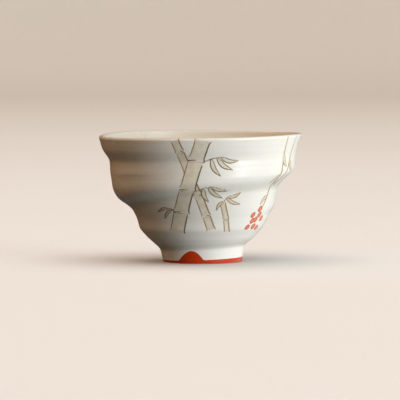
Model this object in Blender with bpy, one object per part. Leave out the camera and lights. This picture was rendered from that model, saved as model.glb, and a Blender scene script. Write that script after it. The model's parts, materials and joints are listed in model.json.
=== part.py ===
"""A small thrown porcelain sake cup, built as one solid: a narrow turned foot ring, a trimmed cone above it,
a wall with the soft step that the throwing left, climbing it in a spiral, and a thin lip that flares a little.

Run it with: blender --background --python part.py
Lengths are in metres, +Z is up, and the origin is below the middle of the rim, level with the foot's underside.
+X is the side to the right of someone who looks at the cup along +Y.
"""

import math

import bmesh
import bpy
from mathutils import Vector

# Driving sizes
RIM_DIAMETER = 0.0680
CUP_HEIGHT = 0.0426
RIM_RISE = 0.0007
RIM_WAVE = 0.0005
LIP_THICKNESS = 0.0015
WALL = 0.0023
FLOOR_THICKNESS = 0.0034
FOOT_DIAMETER = 0.0264
FOOT_HEIGHT = 0.0051
FOOT_RISE = 0.0014
FOOT_FLARE = 0.0010
FOOT_RING_WIDTH = 0.0026
FOOT_EDGE_ROUND = 0.0003
FOOT_OFFSET = 0.0006
RECESS_DEPTH = 0.0032
RECESS_DOME = 0.0004
RED_BAND_HEIGHT = 0.0013

# How far the edges left by the turning tool and those left by the potter's fingers are rounded
TURNED_SOFTNESS = 0.0005
THROWN_SOFTNESS = 0.0013
INSIDE_SOFTNESS = 0.0024

# The wall between the foot and the rim. A height is a share of the way from the foot's top to the rim, and a
# radius is a share of the way from the foot's radius to the rim's. Each line is level with itself only nearly:
# it has one place on the left side of the cup and another on the right.
LOW_LINES = (
    # left height, left radius, right height, right radius
    (0.083, 0.250, 0.073, 0.185),
    (0.160, 0.370, 0.178, 0.354),
    (0.264, 0.418, 0.264, 0.435),
)
TRIMMING_LINE = 1
HIGH_LINES = (
    (0.778, 0.835, 0.839, 0.900),
    (0.859, 0.945, 0.929, 0.950),
)

# The throwing step: a hollow with a shoulder above it. It starts low on the right, comes round the back and the
# left, is deepest from the left over the front to the right, and fades out at the front in its second turn.
# Turns are counted from the right side, counterclockwise from above. Heights and radii are shares, as above, and
# the swell is how far the slope between hollow and shoulder bulges, as a share of its rise in radius.
THROWING_STEP = (
    # turns, hollow height, hollow radius, shoulder height, shoulder radius, swell
    (-0.25, 0.284, 0.44, 0.304, 0.47, 0.00),
    (0.00, 0.315, 0.47, 0.355, 0.54, 0.00),
    (0.25, 0.325, 0.48, 0.415, 0.66, 0.10),
    (0.50, 0.345, 0.495, 0.506, 0.79, 0.24),
    (0.75, 0.511, 0.685, 0.602, 0.83, 0.26),
    (1.00, 0.556, 0.61, 0.688, 0.87, -0.06),
    (1.25, 0.597, 0.71, 0.698, 0.86, 0.00),
    (1.50, 0.637, 0.82, 0.657, 0.83, 0.00),
    (1.75, 0.657, 0.83, 0.688, 0.84, 0.00),
)
FADE_TURNS = 0.25

# Facets
COLUMNS = 60
CONE_ROWS = 5
WALL_ROWS = 34
INSIDE_ROWS = 17
ROWS_BLENDED_TO_LIP = 3
LIP_STEPS = 4
BOWL_STEPS = 5
EDGE_STEPS = 2

# The rows of the section that the red enamel covers: the ring's outer edge and the foot up to the band's height
FIRST_RED_ROW = 2 * EDGE_STEPS + 3
LAST_RED_ROW = FIRST_RED_ROW + EDGE_STEPS + 1

# Sizes that follow from the driving ones
RIM_RADIUS = RIM_DIAMETER / 2
FOOT_RADIUS = FOOT_DIAMETER / 2
LIP_RADIUS = LIP_THICKNESS / 2
RECESS_RADIUS = FOOT_RADIUS - FOOT_RING_WIDTH
FLOOR_HEIGHT = RECESS_DEPTH + FLOOR_THICKNESS

# Finish
PORCELAIN = (0.80, 0.81, 0.76, 1.0)
RED_ENAMEL = (0.56, 0.055, 0.014, 1.0)


def blend(start, end, share):
    return start + (end - start) * share


def share_to_right(azimuth):
    """1 on the right side of the cup, 0 on the left, and a half at the front and the back."""
    return (1 + math.cos(azimuth)) / 2


def rim_height(azimuth):
    """The rim isn't quite level: it rises to the right, and at the back it waves up on the left."""
    wave = -math.sin(2 * azimuth) * (1 + math.sin(azimuth)) / 2
    return CUP_HEIGHT + RIM_RISE * (share_to_right(azimuth) - 0.5) + RIM_WAVE * wave


def foot_top(azimuth):
    """The joint of the foot with the cone was turned aslant: it is FOOT_RISE higher on the right."""
    return FOOT_HEIGHT + FOOT_RISE * (share_to_right(azimuth) - 0.5)


def wall_point(height_share, radius_share):
    """(radius, height) of a place on the wall that is given in shares."""
    radius = blend(FOOT_RADIUS, RIM_RADIUS, radius_share)
    height = blend(FOOT_HEIGHT, CUP_HEIGHT, height_share)
    return Vector((radius, height))


def line_point(line, azimuth):
    """(radius, height) of a line of the wall at this azimuth."""
    right = share_to_right(azimuth)
    return wall_point(blend(line[0], line[2], right), blend(line[1], line[3], right))


def hermite(start, start_slope, end, end_slope, share):
    """A point of the cubic that leaves start and reaches end with these slopes."""
    square = share * share
    cube = square * share
    return (
        start * (2 * cube - 3 * square + 1)
        + start_slope * (cube - 2 * square + share)
        + end * (3 * square - 2 * cube)
        + end_slope * (cube - square)
    )


def step_points(turns):
    """The hollow, slope and shoulder of the throwing step after this many turns."""
    first_turn, second_turn = THROWING_STEP[0][0], THROWING_STEP[1][0]
    place = (turns - first_turn) / (second_turn - first_turn)
    index = min(int(place), len(THROWING_STEP) - 2)
    last = len(THROWING_STEP) - 1
    near = [Vector(THROWING_STEP[max(0, min(index + k, last))][1:]) for k in (-1, 0, 1, 2)]
    before, start, end, after = near
    shares = hermite(start, (end - before) / 2, end, (after - start) / 2, place - index)
    hollow = wall_point(shares[0], shares[1])
    shoulder = wall_point(shares[2], shares[3])
    slope = (hollow + shoulder) / 2 + Vector((shares[4] * (shoulder.x - hollow.x), 0))
    return hollow, slope, shoulder


def radius_between(points, height):
    """The radius at this height on straight lines through the points, which are carried on beyond both ends."""
    index = 0
    while index < len(points) - 2 and height > points[index + 1].y:
        index += 1
    start, end = points[index], points[index + 1]
    return blend(start.x, end.x, (height - start.y) / (end.y - start.y))


def wall_points(azimuth):
    """The corners of the outer wall's section at this azimuth, from the top of the foot to the lip."""
    foot = Vector((FOOT_RADIUS + FOOT_FLARE, foot_top(azimuth)))
    lip = Vector((RIM_RADIUS, rim_height(azimuth) - LIP_RADIUS))
    low = [foot] + [line_point(line, azimuth) for line in LOW_LINES]
    high = [line_point(line, azimuth) for line in HIGH_LINES] + [lip]
    first, last = THROWING_STEP[0][0], THROWING_STEP[-1][0]
    whole_turns = azimuth / (2 * math.pi)
    steps = [(whole_turns + k, step_points(whole_turns + k)) for k in (-1, 0, 1) if first < whole_turns + k < last]
    points = low + [point for _, step in steps for point in step] + high
    for turns, step in steps:
        bare = [point for point in points if point not in step]
        fade = min(1, (turns - first) / FADE_TURNS, (last - turns) / FADE_TURNS)
        for point in step:
            point.x = blend(radius_between(bare, point.y), point.x, fade)
    return points


def soft_radius(points, height, softness):
    """The radius at this height with the corners rounded, as the mean of the straight lines near it."""
    weights = {-1.0: 1, -0.5: 2, 0.0: 3, 0.5: 2, 1.0: 1}
    total = sum(w * radius_between(points, height + softness * offset) for offset, w in weights.items())
    return total / sum(weights.values())


def outer_softness(points, height):
    """The turned cone has crisp edges, and the thrown wall above it soft ones."""
    crisp_up_to = points[1 + TRIMMING_LINE].y
    share = (height - crisp_up_to) / (points[2 + TRIMMING_LINE].y - crisp_up_to)
    return blend(TURNED_SOFTNESS, THROWN_SOFTNESS, max(0, min(1, share)))


def row_heights(start, end, rows):
    return [blend(start, end, row / rows) for row in range(rows)]


def outer_wall(points):
    """The outer wall, from the top of the foot to where the lip begins to round."""
    foot, trimming_line, lip = points[0], points[1 + TRIMMING_LINE], points[-1]
    heights = row_heights(foot.y, trimming_line.y, CONE_ROWS) + row_heights(trimming_line.y, lip.y, WALL_ROWS)
    rounded = [Vector((soft_radius(points, h, outer_softness(points, h)), h)) for h in heights[1:]]
    return [foot] + rounded + [lip]


def inner_radius(points, height):
    """The inside follows the outside, more softly, at the wall's thickness square to it."""
    half = INSIDE_SOFTNESS / 2
    below = soft_radius(points, height - half, INSIDE_SOFTNESS)
    above = soft_radius(points, height + half, INSIDE_SOFTNESS)
    slope = (above - below) / (2 * half)
    share_up = (height - FOOT_HEIGHT) / (CUP_HEIGHT - FOOT_HEIGHT)
    thickness = blend(WALL, LIP_THICKNESS, share_up**2)
    return (below + above) / 2 - thickness * math.hypot(1, slope)


def inner_wall(points):
    """The inner wall, from below the lip down to the level of the trimming line."""
    lip, end = points[-1], points[1 + TRIMMING_LINE]
    inner_lip = lip.x - LIP_THICKNESS
    wall = []
    for row in range(1, INSIDE_ROWS + 1):
        share = row / INSIDE_ROWS
        height = blend(lip.y, end.y, share)
        to_lip = max(0, 1 - row / ROWS_BLENDED_TO_LIP)
        wall.append(Vector((blend(inner_radius(points, height), inner_lip, to_lip), height)))
    return wall


def bowl(last_wall, end_wall):
    """The inside of the bowl below the wall, which turns smoothly into a flat middle."""
    direction = (end_wall - last_wall).normalized()
    middle = Vector((0, FLOOR_HEIGHT))
    reach = (middle - end_wall).length
    level = Vector((-1, 0))
    return [
        hermite(end_wall, direction * reach, middle, level * reach, step / BOWL_STEPS)
        for step in range(1, BOWL_STEPS)
    ]


def arc(centre, radius, start_degrees, end_degrees, steps):
    """Points along an arc in the section, both ends included."""
    points = []
    for step in range(steps + 1):
        angle = math.radians(blend(start_degrees, end_degrees, step / steps))
        points.append(centre + radius * Vector((math.cos(angle), math.sin(angle))))
    return points


def foot_section(top):
    """The underside and the foot, from the edge of the recess out and up to below the foot's top."""
    rounding = FOOT_EDGE_ROUND
    ceiling_round = 2 * rounding
    inner_edge = Vector((RECESS_RADIUS + rounding, rounding))
    outer_edge = Vector((FOOT_RADIUS - rounding, rounding))
    ceiling_edge = Vector((RECESS_RADIUS - ceiling_round, RECESS_DEPTH - ceiling_round))
    half_out = 0.5
    section = [Vector((RECESS_RADIUS * half_out, RECESS_DEPTH - RECESS_DOME * (1 - half_out**2)))]
    section += arc(ceiling_edge, ceiling_round, 90, 0, EDGE_STEPS)
    section += arc(inner_edge, rounding, 180, 270, EDGE_STEPS)
    section += arc(outer_edge, rounding, 270, 360, EDGE_STEPS)
    section.append(Vector((FOOT_RADIUS, RED_BAND_HEIGHT)))
    section.append(Vector(((FOOT_RADIUS + top.x) / 2, (RED_BAND_HEIGHT + top.y) / 2)))
    return section


def section_at(azimuth):
    """The whole section at this azimuth, from beside the underside's middle to beside the floor's middle."""
    points = wall_points(azimuth)
    lip_centre = points[-1] - Vector((LIP_RADIUS, 0))
    lip = arc(lip_centre, LIP_RADIUS, 0, 180, LIP_STEPS)[1:]
    inner = inner_wall(points)
    return foot_section(points[0]) + outer_wall(points) + lip + inner + bowl(inner[-2], inner[-1])


def placed(point, azimuth):
    """A section's point in space. The wall leans, so the foot stands FOOT_OFFSET to the right of the rim's middle."""
    share_down = min(1, (CUP_HEIGHT - point.y) / (CUP_HEIGHT - FOOT_HEIGHT))
    offset = FOOT_OFFSET * share_down
    return Vector((point.x * math.cos(azimuth) + offset, point.x * math.sin(azimuth), point.y))


def build_mesh():
    """Rings of the section joined into one closed surface, with a fan at the middle of the floor and underside."""
    shape = bmesh.new()
    azimuths = [2 * math.pi * column / COLUMNS for column in range(COLUMNS)]
    columns = [
        [shape.verts.new(placed(point, azimuth)) for point in section_at(azimuth)]
        for azimuth in azimuths
    ]
    underside = shape.verts.new(placed(Vector((0, RECESS_DEPTH - RECESS_DOME)), 0))
    floor = shape.verts.new(placed(Vector((0, FLOOR_HEIGHT)), 0))
    for column, following in zip(columns, columns[1:] + columns[:1]):
        shape.faces.new((underside, following[0], column[0]))
        shape.faces.new((floor, column[-1], following[-1]))
        for row in range(len(column) - 1):
            corners = (column[row], following[row], following[row + 1], column[row + 1])
            face = shape.faces.new(corners)
            if FIRST_RED_ROW <= row < LAST_RED_ROW:
                face.material_index = 1
    mesh = bpy.data.meshes.new("cup")
    shape.to_mesh(mesh)
    shape.free()
    return mesh


def finish(name, colour, roughness):
    """A Principled material."""
    material = bpy.data.materials.new(name)
    material.use_nodes = True
    shader = material.node_tree.nodes["Principled BSDF"]
    shader.inputs["Base Color"].default_value = colour
    shader.inputs["Roughness"].default_value = roughness
    material.diffuse_color = colour
    return material


def build_cup():
    """The cup is thrown, turned and fired in one piece, so it is one object."""
    mesh = build_mesh()
    mesh.materials.append(finish("glazed porcelain", PORCELAIN, 0.28))
    mesh.materials.append(finish("red enamel", RED_ENAMEL, 0.35))
    mesh.shade_smooth()
    mesh.set_sharp_from_angle(angle=math.radians(50))
    cup = bpy.data.objects.new("cup", mesh)
    bpy.context.scene.collection.objects.link(cup)
    return cup


def main():
    for obj in list(bpy.data.objects):
        bpy.data.objects.remove(obj)
    build_cup()


if __name__ == "__main__":
    main()
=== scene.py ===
"""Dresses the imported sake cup: thrown porcelain under a satin glaze, with a sepia brush drawing of bamboo,
a hanging twig with red berries and a red enamel band round the foot.

Lengths are in metres and +Z is up. +X is to the right of someone who looks at the cup along +Y. Azimuths
are counted from +X, counterclockwise from above. The drawing's own measures are in millimetres.
"""

import json
import math

import bpy
import numpy as np
from bpy.props import FloatProperty, FloatVectorProperty, PointerProperty
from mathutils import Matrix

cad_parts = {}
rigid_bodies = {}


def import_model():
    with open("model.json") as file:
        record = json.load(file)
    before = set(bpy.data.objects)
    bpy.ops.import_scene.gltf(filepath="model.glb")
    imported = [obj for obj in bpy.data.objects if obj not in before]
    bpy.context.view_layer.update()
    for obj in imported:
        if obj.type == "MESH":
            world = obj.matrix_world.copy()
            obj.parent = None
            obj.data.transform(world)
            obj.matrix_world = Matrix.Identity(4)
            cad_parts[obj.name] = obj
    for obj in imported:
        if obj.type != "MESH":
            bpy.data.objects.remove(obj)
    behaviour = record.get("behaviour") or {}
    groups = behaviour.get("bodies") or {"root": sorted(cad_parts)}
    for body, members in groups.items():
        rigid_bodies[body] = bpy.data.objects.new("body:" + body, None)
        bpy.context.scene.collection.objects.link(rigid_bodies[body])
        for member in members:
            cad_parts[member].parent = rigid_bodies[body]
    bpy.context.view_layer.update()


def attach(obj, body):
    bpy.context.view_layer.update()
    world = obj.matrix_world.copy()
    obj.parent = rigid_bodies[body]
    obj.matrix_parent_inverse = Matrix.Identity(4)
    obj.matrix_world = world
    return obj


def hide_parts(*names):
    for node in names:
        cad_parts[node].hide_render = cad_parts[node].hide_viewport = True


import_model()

bl_info = {
    "name": "Sake cup",
    "version": (1, 0, 0),
    "blender": (4, 5, 0),
    "location": "3D View > Sidebar > Sake cup",
    "description": "Makes a thrown and painted porcelain sake cup and a plain studio stage",
    "category": "Add Mesh",
}

MM = 0.001
CUP_NODE = "cup"
CUP_BODY = "root"

# The wall between the foot and the rim, as in the solid: left height and radius, then right. A height is a
# share of the way from the foot's top to the rim, and a radius of that from the foot's radius to the rim's.
LOW_LINES = (
    (0.083, 0.250, 0.073, 0.185),
    (0.160, 0.370, 0.178, 0.354),
    (0.264, 0.418, 0.264, 0.435),
)
TRIMMING_LINE = 1
HIGH_LINES = (
    (0.778, 0.835, 0.839, 0.900),
    (0.859, 0.945, 0.929, 0.950),
)

# The throwing step climbs the wall in a spiral: turns from the right side, height and radius of its hollow,
# height and radius of its shoulder, and the swell of the slope between them. It fades out at both ends.
THROWING_STEP = (
    (-0.25, 0.284, 0.44, 0.304, 0.47, 0.00),
    (0.00, 0.315, 0.47, 0.355, 0.54, 0.00),
    (0.25, 0.325, 0.48, 0.415, 0.66, 0.10),
    (0.50, 0.345, 0.495, 0.506, 0.79, 0.24),
    (0.75, 0.511, 0.685, 0.602, 0.83, 0.26),
    (1.00, 0.556, 0.61, 0.688, 0.87, -0.06),
    (1.25, 0.597, 0.71, 0.698, 0.86, 0.00),
    (1.50, 0.637, 0.82, 0.657, 0.83, 0.00),
    (1.75, 0.657, 0.83, 0.688, 0.84, 0.00),
)
FADE_TURNS = 0.25

# How far edges are rounded: turned ones, the joint of foot and cone, and those left by fingers outside and
# inside. A softened radius is a mean over SOFT_REACH times that on each side.
TURNED_SOFTNESS = 0.0005
JOINT_SOFTNESS = 0.0010
JOINT_SPREAD = 0.0030
THROWN_SOFTNESS = 0.0013
INSIDE_SOFTNESS = 0.0024
SOFT_SAMPLES = 17
SOFT_REACH = 1.6

# Fine throwing rings in the outer wall: the pitch and depth of each set. The depth varies by RING_SWELL over
# the height, and the rings fade out just below the lip.
RINGS = ((0.0021, 0.000011), (0.0013, 0.000005), (0.0009, 0.000002))
RING_SHIFT = 1.7
RING_SWELL = 0.35
RING_SWELL_HEIGHT = 0.0047
RING_FADE = 0.001

# The crisp ledge that a fingertip left on the left of the front, close above the fading end of the step
LEDGE_AZIMUTH = math.radians(-142)
LEDGE_HALF_LENGTH = math.radians(34)
LEDGE_HEIGHT = 0.0295
LEDGE_CLIMB = 0.0060
LEDGE_DEPTH = 0.00030
LEDGE_SHARPNESS = 0.0007
LEDGE_SPREAD_UP = 0.0022
LEDGE_UNDERCUT = 0.00022
LEDGE_SPREAD_DOWN = 0.0036

# The red band's hump: its azimuth, how much further it reaches to the left, how pointed it is, and how many
# rows above the foot's top it may reach
HUMP_AZIMUTH = math.radians(-105)
HUMP_LEAN = 0.12
HUMP_POINT = 1.15
HUMP_ROWS = 4

# The mesh. Columns are closer in the drawn sectors: from and to azimuth, in degrees, and how much closer.
COLUMNS = 470
CONE_ROWS = 22
WALL_ROWS = 112
INSIDE_ROWS = 26
ROWS_BLENDED_TO_LIP = 4
LIP_STEPS = 8
BOWL_STEPS = 10
EDGE_STEPS = 3
FOOT_ROWS = 12
RECESS_ROWS = 4
DRAWN_SECTORS = ((-125, -55, 5.0), (-55, -3, 5.0), (58, 122, 3.6))
SECTOR_FADE = 8
AZIMUTH_SAMPLES = 3601
MERGE_DISTANCE = 1e-6

# The hollows are where the wall lies below its mean over this many rows up and down: there the glaze pools
# greener, and painted shade darkens them
POOL_AND_SHADE_ROWS = 8

# The drawing: how far round it reaches, in millimetres a line's soft edge, how far outside a wash its depth
# is known and the depth elsewhere, how much a culm swells at its joints, and a leaf's bend and width as
# shares of its length
DRAWN_HALF_ANGLE = math.radians(65)
LINE_EDGE = 0.24
WASH_REACH = 2.0
UNPAINTED = -2.0
CULM_SWELL = 0.20
LEAF_BEND = 0.12
LEAF_SHARE = 0.21

# The margin round the bake map
MAP_MARGIN = 0.01


def linear(code):
    """An sRGB hex colour as linear values."""
    found = []
    for start in (1, 3, 5):
        value = int(code[start:start + 2], 16) / 255
        found.append(value / 12.92 if value <= 0.04045 else ((value + 0.055) / 1.055) ** 2.4)
    return (*found, 1.0)


def length(name, description, default):
    return FloatProperty(name=name, description=description, default=default, unit="LENGTH", precision=5)


def power(name, description, default):
    return FloatProperty(name=name, description=description, default=default, unit="POWER")


def colour(name, description, code):
    return FloatVectorProperty(
        name=name, description=description, default=linear(code), size=4, min=0, max=1, subtype="COLOR"
    )


class SakeCupSizes(bpy.types.PropertyGroup):
    """The cup's sizes."""

    rim_diameter: length("Rim diameter", "Width across the mouth", 0.0680)
    cup_height: length("Height", "From the foot's underside to the rim at the front", 0.0426)
    rim_rise: length("Rim rise", "How much higher the rim is on the right", 0.0007)
    rim_wave: length("Rim wave", "How far the rim waves up and down at the back", 0.0005)
    lip_thickness: length("Lip thickness", "Thickness of the rounded lip", 0.0015)
    wall: length("Wall", "Thickness of the wall above the foot", 0.0023)
    floor_thickness: length("Floor", "Thickness of the floor above the recess", 0.0034)
    foot_diameter: length("Foot diameter", "Width across the foot ring", 0.0264)
    foot_height: length("Foot height", "From the underside to the joint with the cone", 0.0051)
    foot_rise: length("Foot rise", "How much higher the joint is on the right", 0.0014)
    foot_flare: length("Foot flare", "How far the foot widens up to the joint", 0.0010)
    foot_ring_width: length("Foot ring width", "Width of the ring that the cup stands on", 0.0026)
    foot_edge_round: length("Foot edge", "Rounding of the ring's edges", 0.0003)
    foot_offset: length("Foot offset", "How far the foot stands right of the rim's middle", 0.0006)
    recess_depth: length("Recess depth", "Depth of the hollow under the foot", 0.0032)
    recess_dome: length("Recess dome", "How far the hollow's middle comes down again", 0.0004)
    band_left: length("Red band, left", "Height of the red band on the left", 0.00075)
    band_right: length("Red band, right", "Height of the red band on the right", 0.00175)
    hump_height: length("Red hump", "Height of the red hump above the band", 0.0032)
    hump_half_width: length("Red hump half width", "Half the width of the red hump", 0.0045)
    line_width: length("Brush line", "Width of the drawing's lines", 0.00046)


class SakeCupColours(bpy.types.PropertyGroup):
    """The cup's colours."""

    porcelain: colour("Porcelain", "White body seen through the clear glaze", "#F1F2EC")
    # The pooled glaze colour is partly the greener tint of glaze that lies thick in the hollows and partly
    # painted shade that darkens them
    pool: colour("Pooled glaze", "Glaze where it lies thick in the hollows", "#D3D8CB")
    ink: colour("Ink", "Iron brown line where the brush was full", "#4C2C1C")
    thin_ink: colour("Thin ink", "Golden brown line where the brush ran dry", "#A88552")
    wash: colour("Wash", "Diluted iron wash inside the lines", "#D8CDB2")
    berry: colour("Berry red", "Thin red enamel of the berries", "#EE7A4C")
    enamel: colour("Red enamel", "Vermilion enamel round the foot", "#C93C12")
    bare: colour("Bare foot", "Unglazed porcelain that the cup stands on", "#D9D2C2")


class SakeCupStage(bpy.types.PropertyGroup):
    """The floor and the light."""

    floor: colour("Floor", "Plain pale paper that the cup stands on", "#D6D8D8")
    key: colour("Key light", "Soft daylight from the right", "#F3F6FA")
    ceiling: colour("Ceiling", "Soft pale light from above the camera", "#F4ECDC")
    left_room: colour("Room on the left", "Warm light from the left and behind", "#FFBB80")
    right_room: colour("Room on the right", "Pale light from high on the right", "#FAF2E8")
    front_room: colour("Room in front", "Warm light from in front, low down", "#F2DCB0")
    low_glow: colour("Glow from below", "Pale light from low on the right and behind", "#F6EEE0")
    key_power: power("Key power", "Power of the key light", 10.6)
    core_power: power("Core power", "Power of the key's bright core", 3.6)
    floor_power: power("Floor light", "Power of the lamp over the paper", 27.0)
    room_power: FloatProperty(
        name="Room strength", description="Strength of the room's own light", default=1.0
    )


def blend(start, end, share):
    return start + (end - start) * share


def smooth(share):
    share = np.clip(share, 0, 1)
    return share * share * (3 - 2 * share)


def share_to_right(azimuth):
    return (1 + np.cos(azimuth)) / 2


def hermite(start, start_slope, end, end_slope, share):
    """A point of the cubic that leaves start and reaches end with these slopes."""
    square = share * share
    cube = square * share
    return (
        start * (2 * cube - 3 * square + 1)
        + start_slope * (cube - 2 * square + share)
        + end * (3 * square - 2 * cube)
        + end_slope * (cube - square)
    )


def rim_height(sizes, azimuth):
    wave = -math.sin(2 * azimuth) * (1 + math.sin(azimuth)) / 2
    return sizes.cup_height + sizes.rim_rise * (share_to_right(azimuth) - 0.5) + sizes.rim_wave * wave


def wall_place(sizes, height_share, radius_share):
    """(radius, height) of a place on the wall that is given in shares."""
    radius = blend(sizes.foot_diameter / 2, sizes.rim_diameter / 2, radius_share)
    return radius, blend(sizes.foot_height, sizes.cup_height, height_share)


def line_place(sizes, line, azimuth):
    right = share_to_right(azimuth)
    return wall_place(sizes, blend(line[0], line[2], right), blend(line[1], line[3], right))


def step_places(sizes, turns):
    """The hollow, slope and shoulder of the throwing step after this many turns."""
    rows = np.array(THROWING_STEP)
    place = (turns - rows[0, 0]) / (rows[1, 0] - rows[0, 0])
    index = min(int(place), len(rows) - 2)
    before, start, end, after = (
        rows[max(0, min(index + k, len(rows) - 1)), 1:] for k in (-1, 0, 1, 2)
    )
    shares = hermite(start, (end - before) / 2, end, (after - start) / 2, place - index)
    hollow = wall_place(sizes, shares[0], shares[1])
    shoulder = wall_place(sizes, shares[2], shares[3])
    swell = shares[4] * (shoulder[0] - hollow[0])
    slope = ((hollow[0] + shoulder[0]) / 2 + swell, (hollow[1] + shoulder[1]) / 2)
    return [hollow, slope, shoulder]


def radius_on(corners, heights):
    """The radius at these heights on straight lines through the corners, carried on beyond both ends."""
    radii, levels = corners[:, 0], corners[:, 1]
    first_slope = (radii[1] - radii[0]) / (levels[1] - levels[0])
    last_slope = (radii[-1] - radii[-2]) / (levels[-1] - levels[-2])
    found = np.interp(heights, levels, radii)
    found = np.where(heights < levels[0], radii[0] + (heights - levels[0]) * first_slope, found)
    return np.where(heights > levels[-1], radii[-1] + (heights - levels[-1]) * last_slope, found)


def wall_corners(sizes, azimuth):
    """The corners of the outer wall's section at this azimuth, from the top of the foot to the lip."""
    foot_top = sizes.foot_height + sizes.foot_rise * (share_to_right(azimuth) - 0.5)
    low = [(sizes.foot_diameter / 2 + sizes.foot_flare, foot_top)]
    low += [line_place(sizes, line, azimuth) for line in LOW_LINES]
    high = [line_place(sizes, line, azimuth) for line in HIGH_LINES]
    high += [(sizes.rim_diameter / 2, rim_height(sizes, azimuth) - sizes.lip_thickness / 2)]
    first, last = THROWING_STEP[0][0], THROWING_STEP[-1][0]
    whole_turns = azimuth / (2 * math.pi)
    live = [whole_turns + k for k in (-1, 0, 1) if first < whole_turns + k < last]
    steps = [place for turns in live for place in step_places(sizes, turns)]
    corners = np.array(low + steps + high)
    for index, turns in enumerate(live):
        own = np.arange(3) + len(low) + 3 * index
        bare = np.delete(corners, own, axis=0)
        fade = min(1, (turns - first) / FADE_TURNS, (last - turns) / FADE_TURNS)
        corners[own, 0] = blend(radius_on(bare, corners[own, 1]), corners[own, 0], fade)
    return corners


def soft_radius(corners, heights, softness):
    """The radius at these heights with the corners rounded, as a weighted mean of the lines near each."""
    offsets = np.linspace(-SOFT_REACH, SOFT_REACH, SOFT_SAMPLES)
    weights = 1 + np.cos(math.pi * offsets / SOFT_REACH)
    total = sum(
        weight * radius_on(corners, heights + softness * offset)
        for offset, weight in zip(offsets, weights)
    )
    return total / weights.sum()


def thrown_marks(azimuth, heights, lip_height):
    """Fine rings that climb one pitch a turn, and the ledge, as offsets of the radius."""
    marks = np.zeros_like(heights)
    for index, (pitch, depth) in enumerate(RINGS):
        phase = 2 * math.pi * heights / pitch - azimuth * (index + 1) + RING_SHIFT * index
        swell = 1 - RING_SWELL + RING_SWELL * np.sin(heights / RING_SWELL_HEIGHT + 2 * index)
        marks += depth * np.sin(phase) * swell
    from_ledge = math.remainder(azimuth - LEDGE_AZIMUTH, 2 * math.pi)
    length_share = abs(from_ledge) / LEDGE_HALF_LENGTH
    if length_share < 1:
        above = heights - (LEDGE_HEIGHT + LEDGE_CLIMB * from_ledge / (2 * math.pi))
        below = np.maximum(-above, 0) / LEDGE_SPREAD_DOWN
        step = np.tanh(np.maximum(above, 0) / LEDGE_SHARPNESS)
        bulge = LEDGE_DEPTH * step * np.exp(-above / LEDGE_SPREAD_UP)
        undercut = LEDGE_UNDERCUT * below * np.exp(1 - below)
        marks += smooth(1 - length_share) * (bulge - undercut)
    return marks * smooth((lip_height - heights) / RING_FADE)


def joint_softness(heights, foot_top):
    """The foot runs into the cone in a soft hollow, and away from it the turned edges are crisp."""
    return blend(JOINT_SOFTNESS, TURNED_SOFTNESS, smooth(np.abs(heights - foot_top) / JOINT_SPREAD))


def with_foot(sizes, corners):
    """The wall's corners and the foot's lower edge below them."""
    return np.concatenate([[(sizes.foot_diameter / 2, sizes.foot_edge_round)], corners])


def outer_wall(sizes, corners, azimuth):
    """The outer wall's section, from the top of the foot to where the lip begins to round."""
    foot_top, trimming, lip = corners[0, 1], corners[1 + TRIMMING_LINE, 1], corners[-1, 1]
    heights = np.concatenate([
        np.linspace(foot_top, trimming, CONE_ROWS, endpoint=False),
        np.linspace(trimming, lip, WALL_ROWS + 1),
    ])
    thrown = np.clip((heights - trimming) / (corners[2 + TRIMMING_LINE, 1] - trimming), 0, 1)
    softness = blend(joint_softness(heights, foot_top), THROWN_SOFTNESS, thrown)
    radii = soft_radius(with_foot(sizes, corners), heights, softness)
    near_lip = smooth((lip - heights) / (2 * THROWN_SOFTNESS))
    radii = blend(radius_on(corners, heights), radii, near_lip)
    radii += thrown_marks(azimuth, heights, lip)
    return np.stack([radii, heights], axis=1)


def inner_wall(sizes, corners):
    """The inner wall from below the lip down to the level of the trimming line."""
    lip, end = corners[-1], corners[1 + TRIMMING_LINE]
    shares = np.arange(1, INSIDE_ROWS + 1) / INSIDE_ROWS
    heights = blend(lip[1], end[1], shares)
    half = INSIDE_SOFTNESS / 2
    below = soft_radius(corners, heights - half, INSIDE_SOFTNESS)
    above = soft_radius(corners, heights + half, INSIDE_SOFTNESS)
    slope = (above - below) / (2 * half)
    share_up = (heights - sizes.foot_height) / (sizes.cup_height - sizes.foot_height)
    thickness = blend(sizes.wall, sizes.lip_thickness, share_up**2)
    radii = (below + above) / 2 - thickness * np.hypot(1, slope)
    to_lip = np.clip(1 - np.arange(1, INSIDE_ROWS + 1) / ROWS_BLENDED_TO_LIP, 0, 1)
    radii = blend(radii, lip[0] - sizes.lip_thickness, to_lip)
    return np.stack([radii, heights], axis=1)


def arc(centre, radius, start_degrees, end_degrees, steps):
    angles = np.radians(np.linspace(start_degrees, end_degrees, steps + 1))
    return np.stack([centre[0] + radius * np.cos(angles), centre[1] + radius * np.sin(angles)], axis=1)


def foot_section(sizes, corners):
    """The underside and the foot, from the middle of the recess out and up to below the foot's top."""
    edge = sizes.foot_edge_round
    foot_radius = sizes.foot_diameter / 2
    recess_radius = foot_radius - sizes.foot_ring_width
    shares = np.arange(RECESS_ROWS) / RECESS_ROWS
    ceiling = np.stack([
        (recess_radius - 2 * edge) * shares,
        sizes.recess_depth - sizes.recess_dome * (1 - shares**2),
    ], axis=1)
    corner = arc((recess_radius - 2 * edge, sizes.recess_depth - 2 * edge), 2 * edge, 90, 0, EDGE_STEPS)
    inner = arc((recess_radius + edge, edge), edge, 180, 270, EDGE_STEPS)
    outer = arc((foot_radius - edge, edge), edge, 270, 360, EDGE_STEPS)
    heights = blend(edge, corners[0, 1], np.arange(1, FOOT_ROWS) / FOOT_ROWS)
    softness = joint_softness(heights, corners[0, 1]) * smooth((heights - edge) / JOINT_SOFTNESS)
    side = np.stack([soft_radius(with_foot(sizes, corners), heights, softness), heights], axis=1)
    return np.concatenate([ceiling, corner, inner, outer, side])


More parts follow.
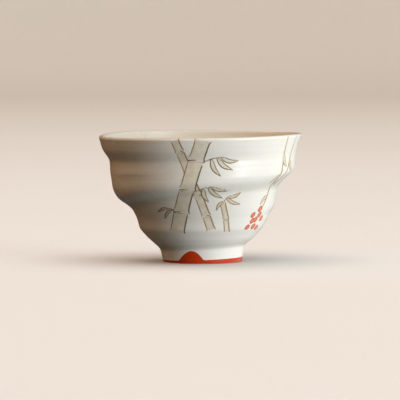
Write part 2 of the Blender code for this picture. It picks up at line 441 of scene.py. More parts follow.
def section_at(sizes, azimuth):
    """The whole section at this azimuth, from the underside's middle to the floor's middle."""
    corners = wall_corners(sizes, azimuth)
    lip_radius = sizes.lip_thickness / 2
    lip = arc((corners[-1, 0] - lip_radius, corners[-1, 1]), lip_radius, 0, 180, LIP_STEPS)[1:]
    inner = inner_wall(sizes, corners)
    direction = (inner[-1] - inner[-2]) / np.linalg.norm(inner[-1] - inner[-2])
    middle = np.array((0, sizes.recess_depth + sizes.floor_thickness))
    reach = np.linalg.norm(middle - inner[-1])
    shares = (np.arange(1, BOWL_STEPS + 1) / BOWL_STEPS)[:, None]
    bowl = hermite(inner[-1], direction * reach, middle, np.array((-1, 0)) * reach, shares)
    foot = foot_section(sizes, corners)
    return np.concatenate([foot, outer_wall(sizes, corners, azimuth), lip, inner, bowl])


# The first row of each part of the section
RING_ROW = RECESS_ROWS + EDGE_STEPS + 2
FOOT_ROW = RECESS_ROWS + 2 * (EDGE_STEPS + 1)
WALL_ROW = RECESS_ROWS + 3 * (EDGE_STEPS + 1) + FOOT_ROWS - 1
LIP_ROW = WALL_ROW + CONE_ROWS + WALL_ROWS
CREST_ROW = LIP_ROW + LIP_STEPS // 2


def column_azimuths():
    """The azimuth of each column, from the left round the front: close together in the drawn sectors."""
    fine = np.linspace(-math.pi, math.pi, AZIMUTH_SAMPLES)
    degrees = np.degrees(fine)
    density = np.ones_like(fine)
    for start, end, gain in DRAWN_SECTORS:
        inside = smooth((degrees - start) / SECTOR_FADE) * smooth((end - degrees) / SECTOR_FADE)
        density = np.maximum(density, 1 + (gain - 1) * inside)
    passed = np.concatenate([[0], np.cumsum((density[1:] + density[:-1]) / 2)])
    return np.interp(np.arange(COLUMNS) / COLUMNS, passed / passed[-1], fine)


def deselect_all():
    for obj in bpy.context.view_layer.objects:
        obj.select_set(False)


def spin_section(name, section):
    """A new object: the section as an open line, spun once round the Z axis and closed at both poles."""
    deselect_all()
    bpy.ops.mesh.primitive_circle_add(
        vertices=len(section), radius=section.max(), fill_type="NOTHING", calc_uvs=False
    )
    piece = bpy.context.active_object
    piece.name = name
    mesh = piece.data
    mesh.name = name
    for vertex, (radius, height) in zip(mesh.vertices, section):
        vertex.co = (radius, 0, height)
    rows = mesh.attributes.new("row", "INT", "POINT")
    rows.data.foreach_set("value", np.arange(len(section), dtype=np.int32))
    bpy.ops.object.mode_set(mode="EDIT")
    bpy.ops.mesh.select_all(action="DESELECT")
    bpy.ops.object.mode_set(mode="OBJECT")
    closing = {0, len(section) - 1}
    for edge in mesh.edges:
        edge.select = set(edge.vertices) == closing
    bpy.ops.object.mode_set(mode="EDIT")
    bpy.ops.mesh.select_mode(type="EDGE")
    bpy.ops.mesh.delete(type="EDGE_FACE")
    bpy.ops.mesh.select_mode(type="VERT")
    bpy.ops.object.mode_set(mode="OBJECT")
    bpy.ops.object.modifier_add(type="SCREW")
    spin = piece.modifiers[-1]
    spin.steps = spin.render_steps = COLUMNS
    spin.use_merge_vertices = True
    spin.merge_threshold = MERGE_DISTANCE
    bpy.ops.object.modifier_apply(modifier=spin.name)
    bpy.ops.object.mode_set(mode="EDIT")
    bpy.ops.mesh.select_all(action="SELECT")
    bpy.ops.mesh.normals_make_consistent(inside=False)
    bpy.ops.object.mode_set(mode="OBJECT")
    return piece


class Wall:
    """Where each vertex of the cup is: its row, azimuth, radius, height and drop, which is how far it lies
    below the rim along the wall, in millimetres."""

    def __init__(self, sizes, mesh):
        azimuths = column_azimuths()
        sections = np.array([section_at(sizes, azimuth % (2 * math.pi)) for azimuth in azimuths])
        spun = np.zeros(3 * len(mesh.vertices), np.float32)
        mesh.vertices.foreach_get("co", spun)
        self.row = np.zeros(len(mesh.vertices), np.int32)
        mesh.attributes["row"].data.foreach_get("value", self.row)
        turn = np.arctan2(spun[1::3], spun[::3]) / (2 * math.pi)
        column = np.round(turn * COLUMNS).astype(int) % COLUMNS
        steps = np.hypot(*np.diff(sections, axis=1).transpose(2, 0, 1))
        along = np.concatenate([np.zeros((COLUMNS, 1)), np.cumsum(steps, axis=1)], axis=1)
        self.azimuth = azimuths[column]
        self.radius, self.height = sections[column, self.row].T
        self.along = along[column, self.row]
        self.drop = (along[column, LIP_ROW] - self.along) / MM
        self.outside = (self.row >= WALL_ROW) & (self.row <= CREST_ROW)
        self.mean_along = along.mean(axis=0)
        radii = sections[:, WALL_ROW:LIP_ROW, 0]
        count = 2 * POOL_AND_SHADE_ROWS + 1
        padded = np.pad(radii, ((0, 0), (POOL_AND_SHADE_ROWS, POOL_AND_SHADE_ROWS)), mode="edge")
        mean = np.array([np.convolve(line, np.ones(count) / count, "valid") for line in padded])
        hollow = np.zeros_like(sections[..., 0])
        hollow[:, WALL_ROW:LIP_ROW] = (mean - radii) / MM
        self.hollow = hollow[column, self.row]

    def away_from(self, azimuth):
        return np.remainder(self.azimuth - azimuth + math.pi, 2 * math.pi) - math.pi

    def points(self, sizes):
        """The cup leans: towards the foot every section stands a little further to the right."""
        share_down = (sizes.cup_height - self.height) / (sizes.cup_height - sizes.foot_height)
        return np.stack([
            self.radius * np.cos(self.azimuth) + sizes.foot_offset * np.clip(share_down, 0, 1),
            self.radius * np.sin(self.azimuth),
            self.height,
        ], axis=1)


class Drawing:
    """A brush drawing on the outer wall. Its places are (across, drop) in millimetres: along the wall to
    the right of an upright line of the wall, and down from the rim."""

    def __init__(self, wall):
        self.wall = wall
        self.ink = np.zeros(len(wall.row))
        self.tone = np.zeros(len(wall.row))
        self.wash = np.full(len(wall.row), UNPAINTED)
        self.berry = self.wash.copy()
        self.turn_to(0)

    def turn_to(self, degrees):
        """Turns the cup, so that the drawing's upright line is at this azimuth."""
        away = self.wall.away_from(math.radians(degrees))
        across = away * self.wall.radius / MM
        self.place = np.stack([across, self.wall.drop], axis=1)
        self.seen = self.wall.outside & (np.abs(away) < DRAWN_HALF_ANGLE)

    def near(self, line, reach):
        low, high = line.min(axis=0) - reach, line.max(axis=0) + reach
        inside = (self.place > low).all(axis=1) & (self.place < high).all(axis=1)
        return np.nonzero(self.seen & inside)[0]

    def distances(self, line, chosen):
        """The distance from the chosen vertices to the line, and how far along it the nearest place is."""
        best = np.full(len(chosen), 1e9)
        share = np.zeros(len(chosen))
        for index, (start, end) in enumerate(zip(line[:-1], line[1:])):
            way = end - start
            part = np.clip(((self.place[chosen] - start) @ way) / max(way @ way, 1e-12), 0, 1)
            found = np.linalg.norm(self.place[chosen] - start - part[:, None] * way, axis=1)
            closer = found < best
            best = np.where(closer, found, best)
            share = np.where(closer, (index + part) / (len(line) - 1), share)
        return best, share

    def stroke(self, line, width, tone=0.0, load=1.0, ends=0.35):
        """A brush line: tone 0 is full dark ink and 1 thin golden ink, and its ends taper by ends."""
        chosen = self.near(line, 2 * width)
        if not len(chosen):
            return
        distance, share = self.distances(line, chosen)
        pressure = 1 - ends * np.abs(2 * share - 1) ** 3
        density = load * np.clip(0.5 + (width * pressure / 2 - distance) / LINE_EDGE, 0, 1)
        over = density > self.ink[chosen]
        self.tone[chosen] = np.where(over, tone, self.tone[chosen])
        self.ink[chosen] = np.maximum(self.ink[chosen], density)

    def inside(self, outline, chosen):
        """The distance of the chosen vertices from a closed outline, positive inside it."""
        closed = np.concatenate([outline, outline[:1]])
        distance, _ = self.distances(closed, chosen)
        x, y = self.place[chosen].T
        crossings = np.zeros(len(chosen), int)
        for start, end in zip(closed[:-1], closed[1:]):
            spans = (start[1] > y) != (end[1] > y)
            rise = end[1] - start[1] if end[1] != start[1] else 1e-12
            crossings += spans & (x < start[0] + (y - start[1]) * (end[0] - start[0]) / rise)
        return np.where(crossings % 2 == 1, distance, -distance)

    def fill(self, outline, layer="wash"):
        """Lays a wash inside the outline. What was drawn there before is covered."""
        chosen = self.near(outline, WASH_REACH)
        depth = self.inside(outline, chosen)
        values = getattr(self, layer)
        values[chosen] = np.maximum(values[chosen], depth)
        self.ink[chosen] = np.where(depth > 0, 0, self.ink[chosen])


def through(points, steps=8):
    """A smooth line through these places."""
    points = np.array(points, float)
    padded = np.concatenate([[2 * points[0] - points[1]], points, [2 * points[-1] - points[-2]]])
    line = []
    for before, start, end, after in zip(padded, padded[1:], padded[2:], padded[3:]):
        for step in range(steps):
            line.append(hermite(start, (end - before) / 2, end, (after - start) / 2, step / steps))
    return np.array(line + [points[-1]])


def beside(line, offsets):
    """The line moved sideways by these distances."""
    ways = np.gradient(line, axis=0)
    ways /= np.linalg.norm(ways, axis=1)[:, None]
    return line + np.stack([-ways[:, 1], ways[:, 0]], axis=1) * np.reshape(offsets, (-1, 1))


def draw_culm(drawing, sizes, bottom, top, half_width, joints, tone, bow):
    """A bamboo culm from bottom to top with its joints, which are shares of its length."""
    width = sizes.line_width / MM
    bottom, top = np.array(bottom, float), np.array(top, float)
    middle = (bottom + top) / 2 + np.array((bow, 0))
    ends = [0.0, *joints, 1.0]
    whole = through([bottom, middle, top], 24)
    place = np.linspace(0, 1, len(whole))
    for start, end in zip(ends[:-1], ends[1:]):
        shares = np.linspace(start, end, 10)
        line = np.stack([np.interp(shares, place, whole[:, k]) for k in (0, 1)], axis=1)
        inner = (shares - start) / (end - start)
        swell = half_width * (1 + CULM_SWELL * np.abs(2 * inner - 1) ** 6)
        left, right = beside(line, swell), beside(line, -swell)
        drawing.fill(np.concatenate([left, right[::-1]]))
        gap = slice(0, -1) if end < 1 else slice(0, None)
        drawing.stroke(left[gap], width, tone, ends=0.25)
        drawing.stroke(right[gap], width * 0.8, min(1, tone + 0.35), ends=0.45)
        if end < 1:
            rim = np.linspace(-1.15, 1.15, 7)
            ring = line[-1] + np.stack([rim * half_width, 0.22 * rim**2 - 0.1], axis=1)
            drawing.stroke(ring, width * 0.9, tone, ends=0.1)
            drawing.stroke(ring + (0, 0.75), width * 0.55, min(1, tone + 0.3), load=0.8)


def draw_leaf(drawing, sizes, base, degrees, long, wide, tone):
    """A narrow bamboo leaf: 0 degrees points right and 90 down."""
    width = sizes.line_width / MM
    way = np.array((math.cos(math.radians(degrees)), math.sin(math.radians(degrees))))
    side = np.array((-way[1], way[0]))
    base = np.array(base, float)
    middle = base + way * long * 0.5 + side * long * LEAF_BEND
    line = through([base, middle, base + way * long], 8)
    shares = np.linspace(0, 1, len(line))
    belly = wide / 2 * np.sin(math.pi * shares**0.72) ** 0.9
    left, right = beside(line, belly), beside(line, -belly)
    drawing.fill(np.concatenate([left, right[::-1]]))
    drawing.stroke(left, width * 0.85, tone, ends=0.5)
    drawing.stroke(right, width * 0.7, min(1, tone + 0.25), ends=0.6)
    drawing.stroke(line[: len(line) * 2 // 3], width * 0.4, 1.0, load=0.55)


def draw_spray(drawing, sizes, base, tip, tone, leaves):
    """A thin twig with leaves."""
    line = through([base, (np.array(base) + tip) / 2 + (0.3, -0.5), tip], 6)
    drawing.stroke(line, sizes.line_width / MM * 0.7, tone)
    for share, degrees, long in leaves:
        place = line[min(int(share * len(line)), len(line) - 1)]
        draw_leaf(drawing, sizes, place, degrees, long, long * LEAF_SHARE, tone)


# Culms: bottom, top, half the width, joints as shares of the length, tone, and bow to the right.
# Sprays: base, tip, tone, and for each leaf its share of the way along, its angle and its length.
FRONT_CULMS = (
    ((3.0, 33.6), (-8.6, -0.2), 1.25, (0.16, 0.40, 0.66, 0.88), 0.55, 0.6),
    ((-8.6, 34.4), (0.8, -0.2), 2.35, (0.22, 0.50, 0.79), 0.12, -0.8),
    ((8.4, 34.6), (7.0, 23.4), 0.85, (0.45,), 0.85, 0.3),
)
FRONT_SPRAYS = (
    ((0.6, 7.9), (6.6, 6.2), 0.15, ((0.45, 62, 6.6), (0.75, 38, 6.8), (1.0, 12, 6.2))),
    ((-2.6, 18.6), (3.2, 16.2), 0.35, ((0.5, 74, 6.4), (0.8, 48, 7.0), (1.0, 20, 6.6))),
    ((7.0, 23.6), (8.6, 21.2), 0.75, ((0.3, 128, 4.6), (0.7, 28, 5.6), (1.0, -18, 5.2))),
    ((-9.0, 27.2), (-11.6, 25.6), 0.10, ((0.5, 128, 4.8), (1.0, 158, 4.6))),
)
BACK_CULMS = (((4.8, 37.0), (-2.0, -0.2), 1.15, (0.18, 0.47, 0.78), 0.2, 0.7),)
BACK_SPRAYS = (
    ((-0.4, 8.2), (-6.2, 7.4), 0.4, ((0.5, 118, 6.2), (0.8, 142, 6.4), (1.0, 168, 5.8))),
    ((2.0, 20.2), (7.2, 18.0), 0.3, ((0.5, 70, 6.2), (0.8, 42, 6.6), (1.0, 14, 6.0))),
)


def draw_bamboo(drawing, sizes, degrees, culms, sprays):
    """Culms, each in front of the one before, and sprays of leaves in front of them all."""
    drawing.turn_to(degrees)
    for culm in culms:
        draw_culm(drawing, sizes, *culm)
    for spray in sprays:
        draw_spray(drawing, sizes, *spray)


def draw_berries(drawing, sizes, middle, count):
    """A hanging cluster of berries, each next one a golden angle further round and further out."""
    width = sizes.line_width / MM
    for index in range(count):
        angle = 2.4 * index + 0.5
        out = 1.5 * math.sqrt(index)
        centre = np.array(middle) + (out * math.cos(angle), out * math.sin(angle))
        around = np.linspace(0, 2 * math.pi, 17)
        size = 1.16 + 0.16 * math.sin(3.1 * index)
        outline = centre + size * np.stack([np.cos(around), np.sin(around)], axis=1)
        drawing.fill(outline[:-1], "berry")
        drawing.stroke(outline[2:9], width * 0.45, 0.6, load=0.6)


def draw_twig(drawing, sizes):
    """The right side: two pale stems hang from the rim, with small leaves, and end in red berries."""
    drawing.turn_to(-24)
    width = sizes.line_width / MM
    main = through([(-4.4, -0.2), (-3.4, 7.0), (-3.9, 15.0), (-3.0, 22.0), (-4.4, 27.4)])
    side = through([(2.4, -0.2), (1.6, 7.0), (-0.6, 13.5), (-3.5, 17.5)])
    drawing.stroke(main, width * 1.5, 0.9, ends=0.5)
    drawing.stroke(side, width * 1.3, 1.0, ends=0.5)
    for base, degrees, long, wide, tone in (
        (main[7], 58, 5.0, 1.5, 0.85),
        (main[14], 122, 4.6, 1.4, 0.9),
        (side[9], 52, 5.2, 1.5, 0.9),
        (side[17], 96, 4.6, 1.4, 0.95),
        (main[24], 130, 4.2, 1.3, 0.8),
    ):
        draw_leaf(drawing, sizes, base, degrees, long, wide, tone)
    draw_berries(drawing, sizes, (-4.8, 30.6), 9)


def enamel_depth(sizes, wall):
    """How far below the red band's upper edge each vertex of the foot is, in millimetres."""
    edge = blend(sizes.band_left, sizes.band_right, share_to_right(wall.azimuth))
    from_hump = wall.away_from(HUMP_AZIMUTH) * wall.radius
    reach = sizes.hump_half_width * np.where(from_hump < 0, 1 + HUMP_LEAN, 1 - HUMP_LEAN)
    share = np.clip(np.abs(from_hump) / reach, 0, 1)
    edge = edge + sizes.hump_height * (1 - share**2) ** HUMP_POINT
    on_foot = (wall.row > FOOT_ROW) & (wall.row <= WALL_ROW + HUMP_ROWS)
    return np.where(on_foot, (edge - wall.height) / MM, -1.0)


def store(mesh, name, values):
    layer = mesh.attributes.new(name, "FLOAT", "POINT")
    layer.data.foreach_set("value", values.astype(np.float32))


def lay_bake_map(mesh, wall):
    """A UV map in four strips: the outer wall's front, its back, the inside, and the foot and underside."""
    loops = np.zeros(len(mesh.loops), np.int32)
    mesh.loops.foreach_get("vertex_index", loops)
    counts = np.zeros(len(mesh.polygons), np.int32)
    mesh.polygons.foreach_get("loop_total", counts)
    face = np.repeat(np.arange(len(counts)), counts)
    turn = wall.azimuth / (2 * math.pi) + 0.5
    pole = (wall.row == 0) | (wall.row == wall.row.max())
    angle = 2 * math.pi * turn[loops]
    weight = np.where(pole[loops], 0, 1)
    face_angle = np.arctan2(
        np.bincount(face, np.sin(angle) * weight), np.bincount(face, np.cos(angle) * weight)
    )
    face_turn = (face_angle / (2 * math.pi)) % 1
    away = np.where(pole[loops], 0, np.remainder(turn[loops] - face_turn[face] + 0.5, 1) - 0.5)
    u = face_turn[face] + away
    row = np.bincount(face, wall.row[loops]) / counts
    outer = (row > WALL_ROW) & (row < CREST_ROW)
    front = face_turn < 0.5
    strips = (
        (outer & front, 0.01, 0.34, WALL_ROW, CREST_ROW, 0.0, 2),
        (outer & ~front, 0.35, 0.68, WALL_ROW, CREST_ROW, 0.5, 2),
        (row > CREST_ROW, 0.69, 0.88, CREST_ROW, wall.row.max(), 0.0, 1),
        (row < WALL_ROW, 0.89, 0.99, 0, WALL_ROW, 0.0, 1),
    )
    place = np.zeros((len(loops), 2), np.float32)
    for chosen, low, high, first, last, shift, gain in strips:
        mine = chosen[face]
        along = wall.mean_along[wall.row[loops[mine]]]
        start, end = wall.mean_along[first], wall.mean_along[last]
        place[mine, 0] = blend(MAP_MARGIN, 1 - MAP_MARGIN, (u[mine] - shift) * gain)
        place[mine, 1] = blend(low, high, (along - start) / (end - start))
    layer = mesh.uv_layers.new(name="OFBake")
    layer.data.foreach_set("uv", place.ravel())


def add(tree, kind, settings=None, inputs=None):
    """Adds a node with its settings, and sets or links its inputs."""
    node = tree.nodes.new(kind)
    for name, value in (settings or {}).items():
        setattr(node, name, value)
    for name, value in (inputs or {}).items():
        if isinstance(value, bpy.types.NodeSocket):
            tree.links.new(value, node.inputs[name])
        else:
            node.inputs[name].default_value = value
    return node


def new_material(name):
    material = bpy.data.materials.new(name)
    material.use_nodes = True
    material.node_tree.nodes.clear()
    return material, material.node_tree


def glazed_porcelain(colours):
    """White porcelain, thrown, with a brushed iron drawing and red enamel, under a clear satin glaze.

    The glaze gives the eye a broad soft highlight. It lies a little thicker and greener in the hollows,
    which are also darkened there as painted shade, and fine throwing rings show through it. The wall is thin
    enough to let some light through at the lip.
    """
    material, tree = new_material("glazed_porcelain")
    coordinates = add(tree, "ShaderNodeTexCoord").outputs["Object"]

    def attribute(name):
        return add(tree, "ShaderNodeAttribute", {"attribute_name": name}).outputs["Fac"]

    def noise(size, detail=2.0, vector=coordinates):
        """Noise with patches of this size in metres."""
        return add(
            tree, "ShaderNodeTexNoise", None, {"Vector": vector, "Scale": 1 / size, "Detail": detail}
        ).outputs["Fac"]

    def ramp(value, low, high, to_low=0.0, to_high=1.0):
        return add(
            tree, "ShaderNodeMapRange", {"interpolation_type": "SMOOTHSTEP"},
            {"Value": value, "From Min": low, "From Max": high, "To Min": to_low, "To Max": to_high},
        ).outputs["Result"]

    def sum_of(first, second, gain):
        return add(
            tree, "ShaderNodeMath", {"operation": "MULTIPLY_ADD"}, {0: second, 1: gain, 2: first}
        ).outputs["Value"]

    def mix(share, first, second):
        node = add(tree, "ShaderNodeMix", {"data_type": "RGBA"}, {0: share, 6: first, 7: second})
        return node.outputs[2]

    # Patches of 9 mm where the glaze is a touch thicker, grain of 0.35 mm that breaks the brush lines, and
    # patches of 2.2 mm where ink and wash dried darker
    cloud = noise(0.009)
    grain = noise(0.00035, 1.0)
    patches = noise(0.0022)

    # Painted shade in the hollows, together with the greener tint of glaze pooled there: the more hollow the
    # wall, the further the porcelain turns to the darker pooled colour
    pooled_and_shaded = ramp(sum_of(attribute("hollow"), cloud, 0.10), 0.03, 0.42, 0.0, 0.50)
    body = mix(pooled_and_shaded, tuple(colours.porcelain), tuple(colours.pool))

    wash_edge = ramp(sum_of(attribute("wash"), grain, 0.30), 0.10, 0.42)
    wash_share = ramp(patches, 0.25, 0.75, 0.38, 0.80)
    washed = add(
        tree, "ShaderNodeMath", {"operation": "MULTIPLY"}, {0: wash_edge, 1: wash_share}
    ).outputs["Value"]
    body = mix(washed, body, tuple(colours.wash))

    berry_edge = ramp(sum_of(attribute("berry"), grain, 0.25), 0.05, 0.32, 0.0, 0.92)
    berry_depth = mix(ramp(attribute("berry"), 0.25, 0.9), tuple(colours.enamel), tuple(colours.berry))
    body = mix(berry_edge, body, berry_depth)

    ink_tone = ramp(sum_of(attribute("tone"), patches, 0.7), 0.10, 1.35)
    ink_colour = mix(ink_tone, tuple(colours.ink), tuple(colours.thin_ink))
    line_share = ramp(sum_of(attribute("ink"), grain, 0.40), 0.42, 0.98, 0.0, 0.95)
    body = mix(line_share, body, ink_colour)

    red_share = ramp(sum_of(attribute("enamel"), grain, 0.22), 0.06, 0.20)
    body = mix(red_share, body, tuple(colours.enamel))
    bare_share = attribute("bare")
    body = mix(bare_share, body, tuple(colours.bare))

    # Rings that are finer than the mesh: 0.5 mm from ring to ring, and drawn out along the wall
    stretched = add(
        tree, "ShaderNodeMapping", {"vector_type": "POINT"},
        {"Vector": coordinates, "Scale": (0.03, 0.03, 1.0)},
    ).outputs["Vector"]
    rings = noise(0.0005, 2.0, stretched)
    ripple = noise(0.0012)
    relief = sum_of(rings, ripple, 0.5)
    bump = add(
        tree, "ShaderNodeBump", None, {"Height": relief, "Strength": 0.14, "Distance": 0.00006}
    ).outputs["Normal"]
    satin = ramp(cloud, 0.2, 0.8, 0.25, 0.34)
    roughness = add(
        tree, "ShaderNodeMix", {"data_type": "FLOAT"}, {0: bare_share, 2: satin, 3: 0.75}
    ).outputs[0]

    shader = add(
        tree, "ShaderNodeBsdfPrincipled", None,
        {"Base Color": body, "Roughness": roughness, "Normal": bump, "IOR": 1.5,
         "Subsurface Weight": 0.18, "Subsurface Radius": (1.0, 0.8, 0.6), "Subsurface Scale": 0.0007},
    )
    add(tree, "ShaderNodeOutputMaterial", None, {"Surface": shader.outputs["BSDF"]})
    return material


def seamless_paper(stage):
    """Plain matt paper: a dull even surface with hardly visible cloudiness."""
    material, tree = new_material("seamless_paper")
    coordinates = add(tree, "ShaderNodeTexCoord").outputs["Object"]
    cloud = add(
        tree, "ShaderNodeTexNoise", None, {"Vector": coordinates, "Scale": 3.0, "Detail": 2.0}
    ).outputs["Fac"]
    floor = tuple(stage.floor)
    darker = tuple(0.96 * value for value in floor[:3]) + (1.0,)
    tint = add(tree, "ShaderNodeMix", {"data_type": "RGBA"}, {0: cloud, 6: floor, 7: darker}).outputs[2]
    shader = add(
        tree, "ShaderNodeBsdfPrincipled", None, {"Base Color": tint, "Roughness": 0.9, "IOR": 1.45}
    )
    add(tree, "ShaderNodeOutputMaterial", None, {"Surface": shader.outputs["BSDF"]})
    return material


class SAKECUP_OT_make_cup(bpy.types.Operator):
    """Throw, paint and glaze the cup"""

    bl_idname = "sakecup.make_cup"
    bl_label = "Make the cup"

    def execute(self, context):
        sizes = context.scene.sake_cup_sizes
        piece = spin_section("porcelain_cup", section_at(sizes, 0.0))
        mesh = piece.data
        wall = Wall(sizes, mesh)
        mesh.vertices.foreach_set("co", wall.points(sizes).astype(np.float32).ravel())
        mesh.attributes.remove(mesh.attributes["row"])
        mesh.update()
        drawing = Drawing(wall)
        draw_bamboo(drawing, sizes, -90, FRONT_CULMS, FRONT_SPRAYS)
        draw_twig(drawing, sizes)
        draw_bamboo(drawing, sizes, 92, BACK_CULMS, BACK_SPRAYS)
        for layer in ("ink", "tone", "wash", "berry"):
            store(mesh, layer, getattr(drawing, layer))
        store(mesh, "hollow", wall.hollow)
        store(mesh, "enamel", enamel_depth(sizes, wall))
        store(mesh, "bare", (wall.row >= RING_ROW) & (wall.row <= FOOT_ROW))
        lay_bake_map(mesh, wall)
        deselect_all()
        piece.select_set(True)
        context.view_layer.objects.active = piece
        bpy.ops.object.shade_smooth()
        mesh.materials.append(glazed_porcelain(context.scene.sake_cup_colours))
        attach(piece, CUP_BODY)
        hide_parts(CUP_NODE)
        return {"FINISHED"}


# The stage: a round sheet of paper that curves up all round, wide enough for the camera to stand in it
FLOOR_RADIUS = 1.8
CURVE_RADIUS = 0.7
CURVE_STEPS = 12
WALL_TOP = 1.7
FLOOR_CORNERS = 96

# The camera, fitted to the photograph's rim, foot and outline, with its angles in radians
CAMERA_PLACE = (-0.00005, -1.505, 0.1019)
CAMERA_PITCH = 0.0540
CAMERA_ROLL = 0.002
LENS = 405.0
SENSOR = 36.0

# The key light: a soft oval window that stands low on the right, and its small bright core, which makes the
# round highlight. Each: name, azimuth and elevation of its direction in degrees, and width and height.
LAMPS = (
    ("key", -41, 1, 0.60, 0.80),
    ("core", -26, 0, 0.16, 0.16),
)
LAMP_DISTANCE = 1.3
LAMP_AIM_HEIGHT = 0.025

# The lamp over the paper
FLOOR_LAMP_HEIGHT = 1.6
FLOOR_LAMP_SIZE = 2.4

# Broad glows of the room: the name of each colour, its azimuth and elevation in degrees, and its strength
GLOWS = (
    ("ceiling", -84, 64, 0.98),
    ("left_room", -188, 50, 1.16),
    ("right_room", -20, 34, 0.54),
    ("front_room", -52, -8, 0.24),
    ("low_glow", 34, -26, 1.10),
)
GLOW_SHARPNESS = 5.0


def direction(azimuth, elevation):
    """The unit vector towards this azimuth and elevation, in degrees."""
    azimuth, elevation = math.radians(azimuth), math.radians(elevation)
    across = math.cos(elevation)
    return np.array((across * math.cos(azimuth), across * math.sin(azimuth), math.sin(elevation)))


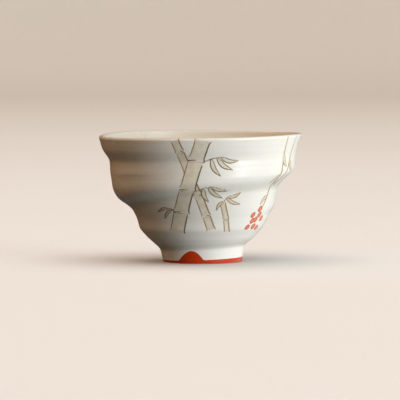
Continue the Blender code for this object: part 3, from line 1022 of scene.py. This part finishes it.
class SAKECUP_OT_make_stage(bpy.types.Operator):
    """Set up the floor, the light and the camera"""

    bl_idname = "sakecup.make_stage"
    bl_label = "Make the stage"

    def execute(self, context):
        stage = context.scene.sake_cup_stage
        floor = self.lay_floor(stage)
        self.hang_key_light(context, stage)
        self.light_floor(context, stage, floor)
        self.light_room(context, stage)
        self.place_camera(context)
        context.scene.view_settings.view_transform = "Standard"
        return {"FINISHED"}

    def lay_floor(self, stage):
        deselect_all()
        bpy.ops.mesh.primitive_circle_add(vertices=FLOOR_CORNERS, radius=FLOOR_RADIUS, fill_type="NGON")
        floor = bpy.context.active_object
        floor.name = "floor"
        bpy.ops.object.mode_set(mode="EDIT")
        bpy.ops.mesh.select_mode(type="EDGE")
        bpy.ops.mesh.select_all(action="SELECT")
        bpy.ops.mesh.region_to_loop()
        radius, height = FLOOR_RADIUS, 0.0
        for step in range(1, CURVE_STEPS + 2):
            angle = math.pi / 2 * min(step, CURVE_STEPS) / CURVE_STEPS
            to_radius = FLOOR_RADIUS + CURVE_RADIUS * math.sin(angle)
            to_height = CURVE_RADIUS * (1 - math.cos(angle)) if step <= CURVE_STEPS else WALL_TOP
            bpy.ops.mesh.extrude_edges_move(TRANSFORM_OT_translate={"value": (0, 0, to_height - height)})
            gain = to_radius / radius
            bpy.ops.transform.resize(value=(gain, gain, 1), center_override=(0, 0, 0))
            radius, height = to_radius, to_height
        bpy.ops.mesh.select_all(action="SELECT")
        bpy.ops.mesh.normals_make_consistent(inside=True)
        bpy.ops.object.mode_set(mode="OBJECT")
        bpy.ops.object.shade_smooth()
        floor.data.materials.append(seamless_paper(stage))
        # The paper throws no light back on to the cup, which keeps its shaded side deep
        floor.visible_diffuse = False
        floor.visible_glossy = False
        floor.visible_shadow = False
        return floor

    def hang_lamp(self, context, name, shape, width, tall, power):
        lamp = bpy.data.lights.new(name, "AREA")
        lamp.shape = shape
        lamp.size = width
        lamp.size_y = tall
        lamp.energy = power
        holder = bpy.data.objects.new(name, lamp)
        context.scene.collection.objects.link(holder)
        holder.visible_camera = False
        return holder

    def hang_key_light(self, context, stage):
        for name, degrees, rise, width, tall in LAMPS:
            lamp = self.hang_lamp(context, name, "ELLIPSE", width, tall, getattr(stage, name + "_power"))
            lamp.data.color = tuple(stage.key)[:3]
            lamp.location = LAMP_DISTANCE * direction(degrees, rise) + (0, 0, LAMP_AIM_HEIGHT)
            lamp.rotation_euler = (math.radians(90 - rise), 0, math.radians(degrees + 90))

    def light_floor(self, context, stage, floor):
        """A broad lamp overhead that lights the paper alone. The cup stands in its way and shades it."""
        size = FLOOR_LAMP_SIZE
        lamp = self.hang_lamp(context, "paper_lamp", "RECTANGLE", size, size, stage.floor_power)
        lamp.location = (0, 0, FLOOR_LAMP_HEIGHT)
        lit = bpy.data.collections.new("lit_by_paper_lamp")
        lit.objects.link(floor)
        lamp.light_linking.receiver_collection = lit

    def light_room(self, context, stage):
        world = bpy.data.worlds.new("room")
        context.scene.world = world
        world.use_nodes = True
        tree = world.node_tree
        tree.nodes.clear()
        way = add(tree, "ShaderNodeTexCoord").outputs["Generated"]
        total = (0, 0, 0)
        for name, degrees, rise, strength in GLOWS:
            towards = direction(degrees, rise)
            facing = add(tree, "ShaderNodeVectorMath", {"operation": "DOT_PRODUCT"}, {0: way, 1: towards})
            away = add(
                tree, "ShaderNodeMath", {"operation": "MULTIPLY_ADD"},
                {0: facing.outputs["Value"], 1: GLOW_SHARPNESS, 2: -GLOW_SHARPNESS},
            ).outputs["Value"]
            fall = add(tree, "ShaderNodeMath", {"operation": "EXPONENT"}, {0: away}).outputs["Value"]
            tint = strength * np.array(getattr(stage, name))[:3]
            total = add(
                tree, "ShaderNodeVectorMath", {"operation": "MULTIPLY_ADD"}, {0: fall, 1: tint, 2: total}
            ).outputs["Vector"]
        glow = add(tree, "ShaderNodeBackground", None, {"Color": total, "Strength": stage.room_power})
        add(tree, "ShaderNodeOutputWorld", None, {"Surface": glow.outputs["Background"]})

    def place_camera(self, context):
        camera = bpy.data.objects.new("camera", bpy.data.cameras.new("camera"))
        context.scene.collection.objects.link(camera)
        camera.data.lens = LENS
        camera.data.sensor_width = SENSOR
        camera.location = CAMERA_PLACE
        camera.rotation_euler = (math.pi / 2 - CAMERA_PITCH, CAMERA_ROLL, 0)
        context.scene.camera = camera


class SAKECUP_PT_panel(bpy.types.Panel):
    """Lists the steps, sizes and colours"""

    bl_idname = "SAKECUP_PT_panel"
    bl_label = "Sake cup"
    bl_space_type = "VIEW_3D"
    bl_region_type = "UI"
    bl_category = "Sake cup"

    def draw(self, context):
        column = self.layout.column()
        column.operator("sakecup.make_cup")
        column.operator("sakecup.make_stage")
        for name, kind in GROUPS:
            for value in kind.__annotations__:
                column.prop(getattr(context.scene, name), value)


GROUPS = (
    ("sake_cup_sizes", SakeCupSizes),
    ("sake_cup_colours", SakeCupColours),
    ("sake_cup_stage", SakeCupStage),
)
CLASSES = (SAKECUP_OT_make_cup, SAKECUP_OT_make_stage, SAKECUP_PT_panel)


def register():
    for name, group in GROUPS:
        bpy.utils.register_class(group)
        setattr(bpy.types.Scene, name, PointerProperty(type=group))
    for made in CLASSES:
        bpy.utils.register_class(made)


def unregister():
    for made in reversed(CLASSES):
        bpy.utils.unregister_class(made)
    for name, group in reversed(GROUPS):
        delattr(bpy.types.Scene, name)
        bpy.utils.unregister_class(group)


def main():
    register()
    bpy.ops.sakecup.make_cup()
    bpy.ops.sakecup.make_stage()
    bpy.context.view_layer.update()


if __name__ == "__main__":
    main()
